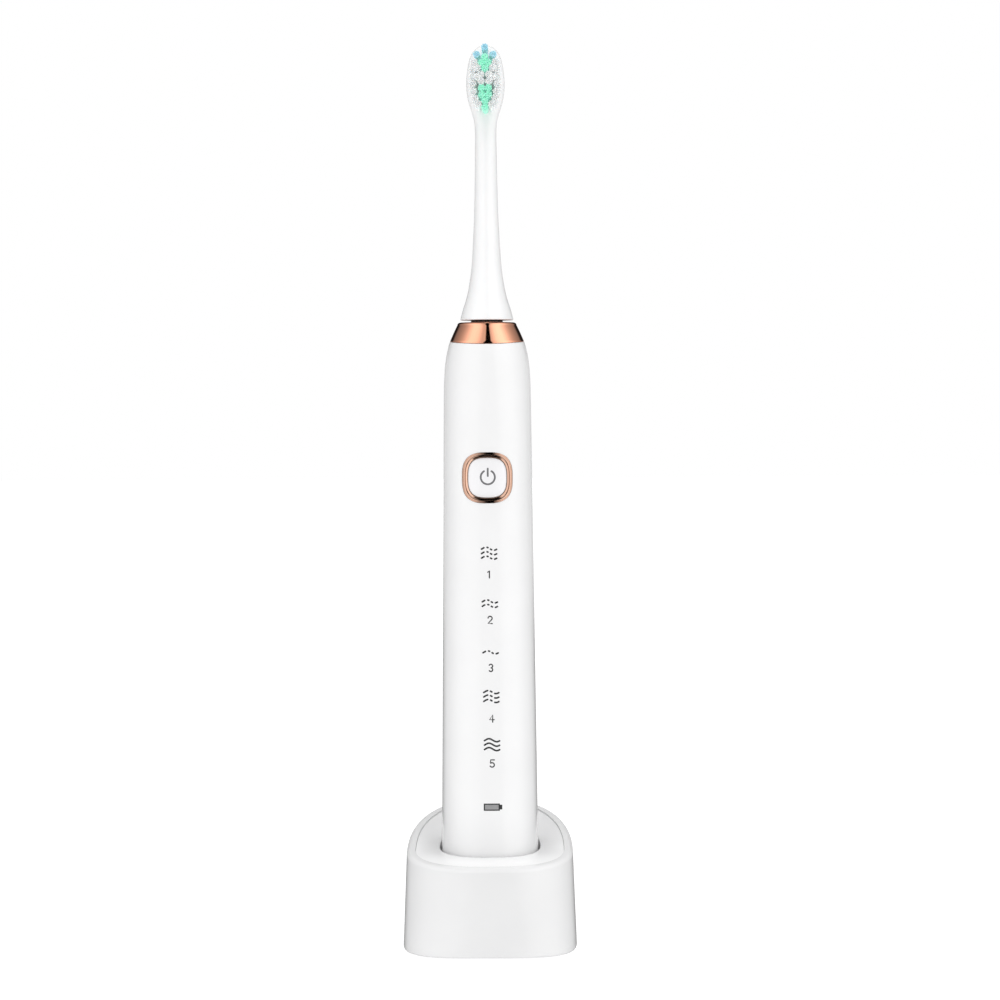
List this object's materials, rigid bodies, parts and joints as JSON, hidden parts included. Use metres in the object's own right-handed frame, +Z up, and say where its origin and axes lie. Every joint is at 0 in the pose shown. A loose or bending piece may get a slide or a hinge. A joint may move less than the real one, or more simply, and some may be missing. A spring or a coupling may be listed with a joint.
{
  "type": "electric toothbrush on charger",
  "caption": "Sonic toothbrush standing in the cup of its inductive charging base, with a pull-off brush head, a metallic collar and a framed power button.",
  "frame": {"origin": "centre of the base's footprint, on the surface that the base stands on", "axes": "+Z up along the toothbrush, -Y towards the side with the button and the bristles, +X to the right of someone who looks at that side"},
  "size_m": [0.0516, 0.06, 0.2682],
  "materials": {
    "white_gloss": "moulded ABS, gloss white",
    "white_satin": "moulded ABS, satin white",
    "rose_gold": "mirror-polished rose gold plating",
    "black_rubber": "moulded silicone, black",
    "foot_grey": "soft grey rubber pad",
    "dark_plastic": "glass-filled nylon, black",
    "grey_plastic": "moulded acetal, grey",
    "steel": "turned and zinc plated",
    "copper_winding": "enamelled copper wire, wound",
    "bronze": "sintered bronze",
    "ferrite": "pressed and fired ferrite",
    "magnet": "nickel-plated neodymium",
    "board_green": "glass-epoxy board with green mask",
    "cell_wrap": "cell can in blue shrink wrap",
    "nickel": "rolled nickel strip",
    "led_lens": "clear moulded lens",
    "nylon_white": "nylon filament, white",
    "nylon_green": "nylon filament, mint green",
    "nylon_blue": "nylon filament, light blue"
  },
  "bodies": {
    "charger_base": {"base_housing": "white_gloss", "cradle_cup": "white_gloss", "base_bottom_cover": "white_satin", "base_foot_1": "foot_grey", "base_foot_2": "foot_grey", "base_foot_3": "foot_grey", "base_foot_4": "foot_grey", "base_screw_1": "steel", "base_screw_2": "steel", "base_screw_3": "steel", "base_screw_4": "steel", "charging_core": "ferrite", "coil_bobbin": "white_satin", "primary_coil": "copper_winding", "charger_board": "board_green", "switching_transformer": "dark_plastic", "filter_capacitor": "dark_plastic", "cord_gland": "black_rubber"},
    "handle": {"handle_shell": "white_gloss", "collar_ring": "rose_gold", "nose_cap": "dark_plastic", "shaft_seal": "black_rubber", "button_ring": "rose_gold", "button_seal": "black_rubber", "switch_body": "dark_plastic", "bottom_cap": "white_gloss", "cap_seal": "black_rubber", "receiver_coil": "copper_winding", "chassis": "white_satin", "battery_cell": "cell_wrap", "battery_tab_lower": "nickel", "battery_tab_upper": "nickel", "main_board": "board_green", "mode_led_1": "led_lens", "mode_led_2": "led_lens", "mode_led_3": "led_lens", "mode_led_4": "led_lens", "mode_led_5": "led_lens", "battery_led": "led_lens", "light_mask": "dark_plastic", "motor_case": "steel", "motor_front_plate": "steel", "front_bearing": "bronze", "rear_bearing": "bronze", "stator_pole_left": "steel", "stator_pole_right": "steel", "stator_coil": "copper_winding", "motor_damper_lower": "black_rubber", "motor_damper_upper": "black_rubber"},
    "power_button": {"power_button": "white_gloss"},
    "switch_plunger": {"switch_plunger": "grey_plastic"},
    "drive": {"drive_shaft": "steel", "rotor_core": "steel", "rotor_magnet_front": "magnet", "rotor_magnet_back": "magnet"},
    "brush_head": {"brush_body": "white_gloss", "brush_coupler": "dark_plastic", "bristles_white": "nylon_white", "bristles_green": "nylon_green", "bristles_blue": "nylon_blue"}
  },
  "joints": [
    {"name": "handle_lift", "type": "slide", "parent": "charger_base", "child": "handle", "axis": [0, 0, 1], "range_m": [0, 0.06]},
    {"name": "button_press", "type": "slide", "parent": "handle", "child": "power_button", "axis": [0, 1, 0], "range_m": [0, 0.0004], "stiffness_N_per_m": 700},
    {"name": "plunger_press", "type": "slide", "parent": "handle", "child": "switch_plunger", "axis": [0, 1, 0], "range_m": [0, 0.0004]},
    {"name": "shaft_swing", "type": "hinge", "parent": "handle", "child": "drive", "pos_m": [0, -0.0046, 0.1623], "axis": [0, 0, 1], "range_deg": [-6, 6], "stiffness_Nm_per_rad": 0.02},
    {"name": "head_pull", "type": "slide", "parent": "drive", "child": "brush_head", "axis": [0, 0, 1], "range_m": [0, 0.03]}
  ],
  "couplings": [
    {"joint": "plunger_press", "follows": "button_press", "ratio": 1}
  ]
}
